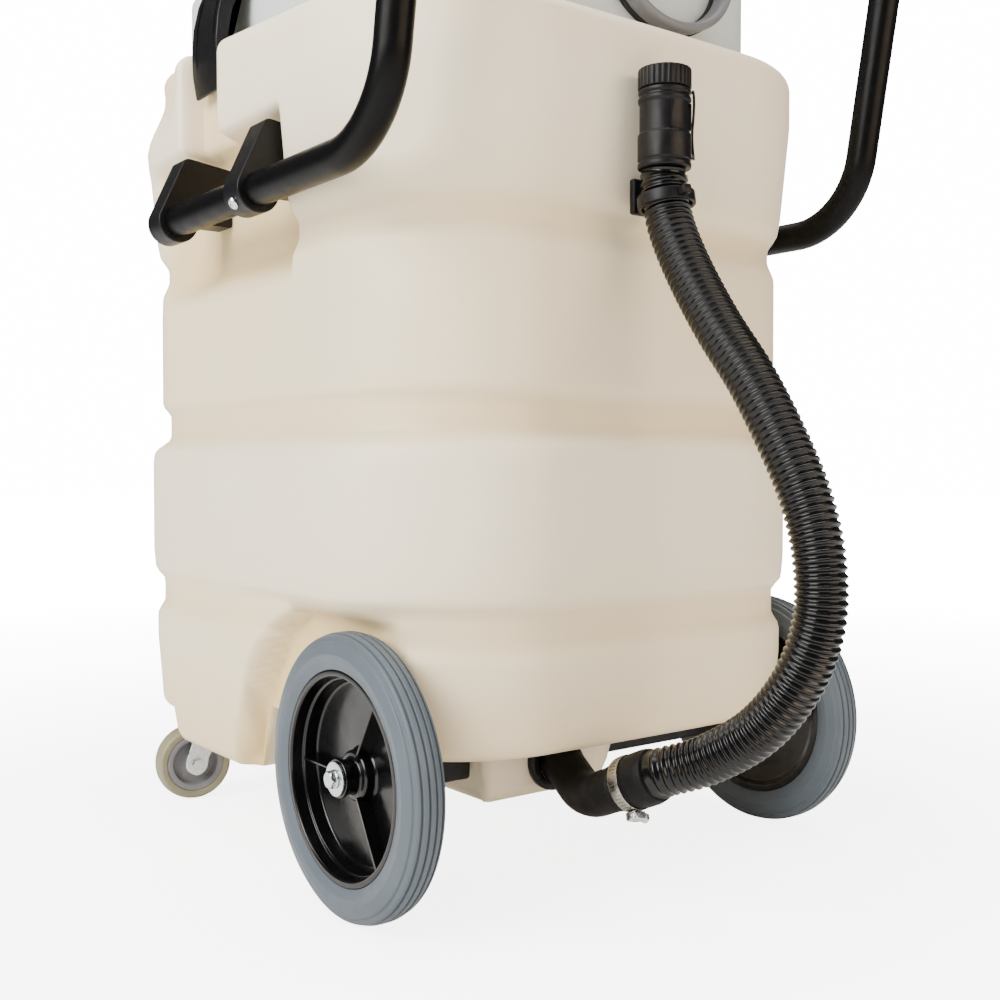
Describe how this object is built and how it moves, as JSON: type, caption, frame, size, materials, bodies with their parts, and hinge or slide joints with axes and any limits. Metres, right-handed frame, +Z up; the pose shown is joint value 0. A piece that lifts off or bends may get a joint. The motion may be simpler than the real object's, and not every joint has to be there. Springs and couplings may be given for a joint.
{
  "type": "wet pickup carpet cleaner",
  "caption": "Wheeled wet-pickup carpet cleaner: pale polyethylene tank, lift-off vacuum head, clipped drain hose, bent-tube push handle, two large rear wheels and swivel casters.",
  "frame": {"origin": "on the floor under the centre of the machine's bounding box, without its drain hose", "axes": "+Z up, +Y towards the front, +X to the right of someone standing behind the machine"},
  "size_m": [0.6252, 0.8639, 0.9997],
  "materials": {
    "natural_polyethylene": "rotomoulded, satin",
    "black_plastic": "satin",
    "black_rubber": "matt",
    "stainless_steel": "brushed",
    "zinc_plated_steel": "bright zinc",
    "black_powder_coat": "satin powder coat",
    "grey_rubber": "matt",
    "hub_black": "gloss",
    "grey_nylon": "satin",
    "khaki_rubber": "matt",
    "pale_grey_plastic": "satin",
    "mid_grey_plastic": "satin",
    "float_white": "satin"
  },
  "bodies": {
    "tank": {"tank_shell": "natural_polyethylene", "drain_flange": "black_plastic", "drain_elbow": "black_rubber", "hose_clamp": "stainless_steel", "clamp_screw": "stainless_steel", "hose_cuff_lower": "black_rubber", "drain_hose": "black_plastic", "hose_cuff_upper": "black_plastic", "cap_tether": "black_plastic", "clip_base": "black_plastic", "clip_strap": "black_plastic", "handle_tube": "black_powder_coat", "bracket_left_front": "black_plastic", "bracket_left_rear": "black_plastic", "bracket_right_front": "black_plastic", "bracket_right_rear": "black_plastic", "bracket_screw_left": "zinc_plated_steel", "bracket_screw_right": "zinc_plated_steel", "axle_bracket_left": "black_plastic", "axle_bracket_right": "black_plastic", "stub_axle_left": "stainless_steel", "stub_axle_right": "stainless_steel", "wheel_washer_left": "zinc_plated_steel", "wheel_washer_right": "zinc_plated_steel", "wheel_bolt_left": "zinc_plated_steel", "wheel_bolt_right": "zinc_plated_steel", "caster_plate_left": "zinc_plated_steel", "caster_plate_right": "zinc_plated_steel"},
    "wheel_left": {"wheel_tyre_left": "grey_rubber", "wheel_hub_left": "hub_black"},
    "wheel_right": {"wheel_tyre_right": "grey_rubber", "wheel_hub_right": "hub_black"},
    "caster_left": {"caster_fork_left": "zinc_plated_steel", "caster_axle_left": "zinc_plated_steel"},
    "caster_right": {"caster_fork_right": "zinc_plated_steel", "caster_axle_right": "zinc_plated_steel"},
    "caster_wheel_left": {"caster_core_left": "grey_nylon", "caster_tread_left": "khaki_rubber"},
    "caster_wheel_right": {"caster_core_right": "grey_nylon", "caster_tread_right": "khaki_rubber"},
    "head": {"head_base": "pale_grey_plastic", "head_gasket": "black_rubber", "motor_cover": "mid_grey_plastic", "vacuum_motor": "stainless_steel", "float_cage": "black_plastic", "suction_inlet": "mid_grey_plastic", "exhaust_port": "mid_grey_plastic", "exhaust_gasket": "black_rubber", "cord_gland": "black_plastic", "switch_frame": "black_plastic", "latch_mount_left": "black_plastic", "latch_mount_right": "black_plastic", "latch_pin_left": "zinc_plated_steel", "latch_pin_right": "zinc_plated_steel"},
    "latch_left": {"latch_left": "black_plastic"},
    "latch_right": {"latch_right": "black_plastic"},
    "rocker_1": {"rocker_switch_1": "black_plastic"},
    "rocker_2": {"rocker_switch_2": "black_plastic"},
    "float": {"float_ball": "float_white"},
    "cap": {"drain_cap": "black_plastic"}
  },
  "joints": [
    {"name": "wheel_spin_left", "type": "hinge", "parent": "tank", "child": "wheel_left", "pos_m": [-0.262, -0.174, 0.125], "axis": [1, 0, 0], "continuous": true},
    {"name": "wheel_spin_right", "type": "hinge", "parent": "tank", "child": "wheel_right", "pos_m": [0.262, -0.174, 0.125], "axis": [1, 0, 0], "continuous": true},
    {"name": "caster_swivel_left", "type": "hinge", "parent": "tank", "child": "caster_left", "pos_m": [-0.186, 0.281, 0.1], "axis": [0, 0, 1], "continuous": true},
    {"name": "caster_swivel_right", "type": "hinge", "parent": "tank", "child": "caster_right", "pos_m": [0.186, 0.281, 0.1], "axis": [0, 0, 1], "continuous": true},
    {"name": "caster_spin_left", "type": "hinge", "parent": "caster_left", "child": "caster_wheel_left", "pos_m": [-0.21366, 0.28538, 0.0435], "axis": [-0.1564, -0.9877, 0], "continuous": true},
    {"name": "caster_spin_right", "type": "hinge", "parent": "caster_right", "child": "caster_wheel_right", "pos_m": [0.21366, 0.28538, 0.0435], "axis": [-0.1564, 0.9877, 0], "continuous": true},
    {"name": "head_lift", "type": "slide", "parent": "tank", "child": "head", "axis": [0, 0, 1], "range_m": [0, 0.25]},
    {"name": "latch_swing_left", "type": "hinge", "parent": "head", "child": "latch_left", "pos_m": [-0.24, 0.12, 0.9], "axis": [0, 1, 0], "range_deg": [0, 85]},
    {"name": "latch_swing_right", "type": "hinge", "parent": "head", "child": "latch_right", "pos_m": [0.24, 0.12, 0.9], "axis": [0, -1, 0], "range_deg": [0, 85]},
    {"name": "rocker_tilt_1", "type": "hinge", "parent": "head", "child": "rocker_1", "pos_m": [-0.087, -0.216, 0.9365], "axis": [0, 1, 0], "range_deg": [0, 18]},
    {"name": "rocker_tilt_2", "type": "hinge", "parent": "head", "child": "rocker_2", "pos_m": [-0.053, -0.216, 0.9365], "axis": [0, 1, 0], "range_deg": [0, 18]},
    {"name": "float_rise", "type": "slide", "parent": "head", "child": "float", "axis": [0, 0, 1], "range_m": [0, 0.045]},
    {"name": "cap_lift", "type": "slide", "parent": "tank", "child": "cap", "axis": [0, 0, 1], "range_m": [0, 0.06]}
  ]
}
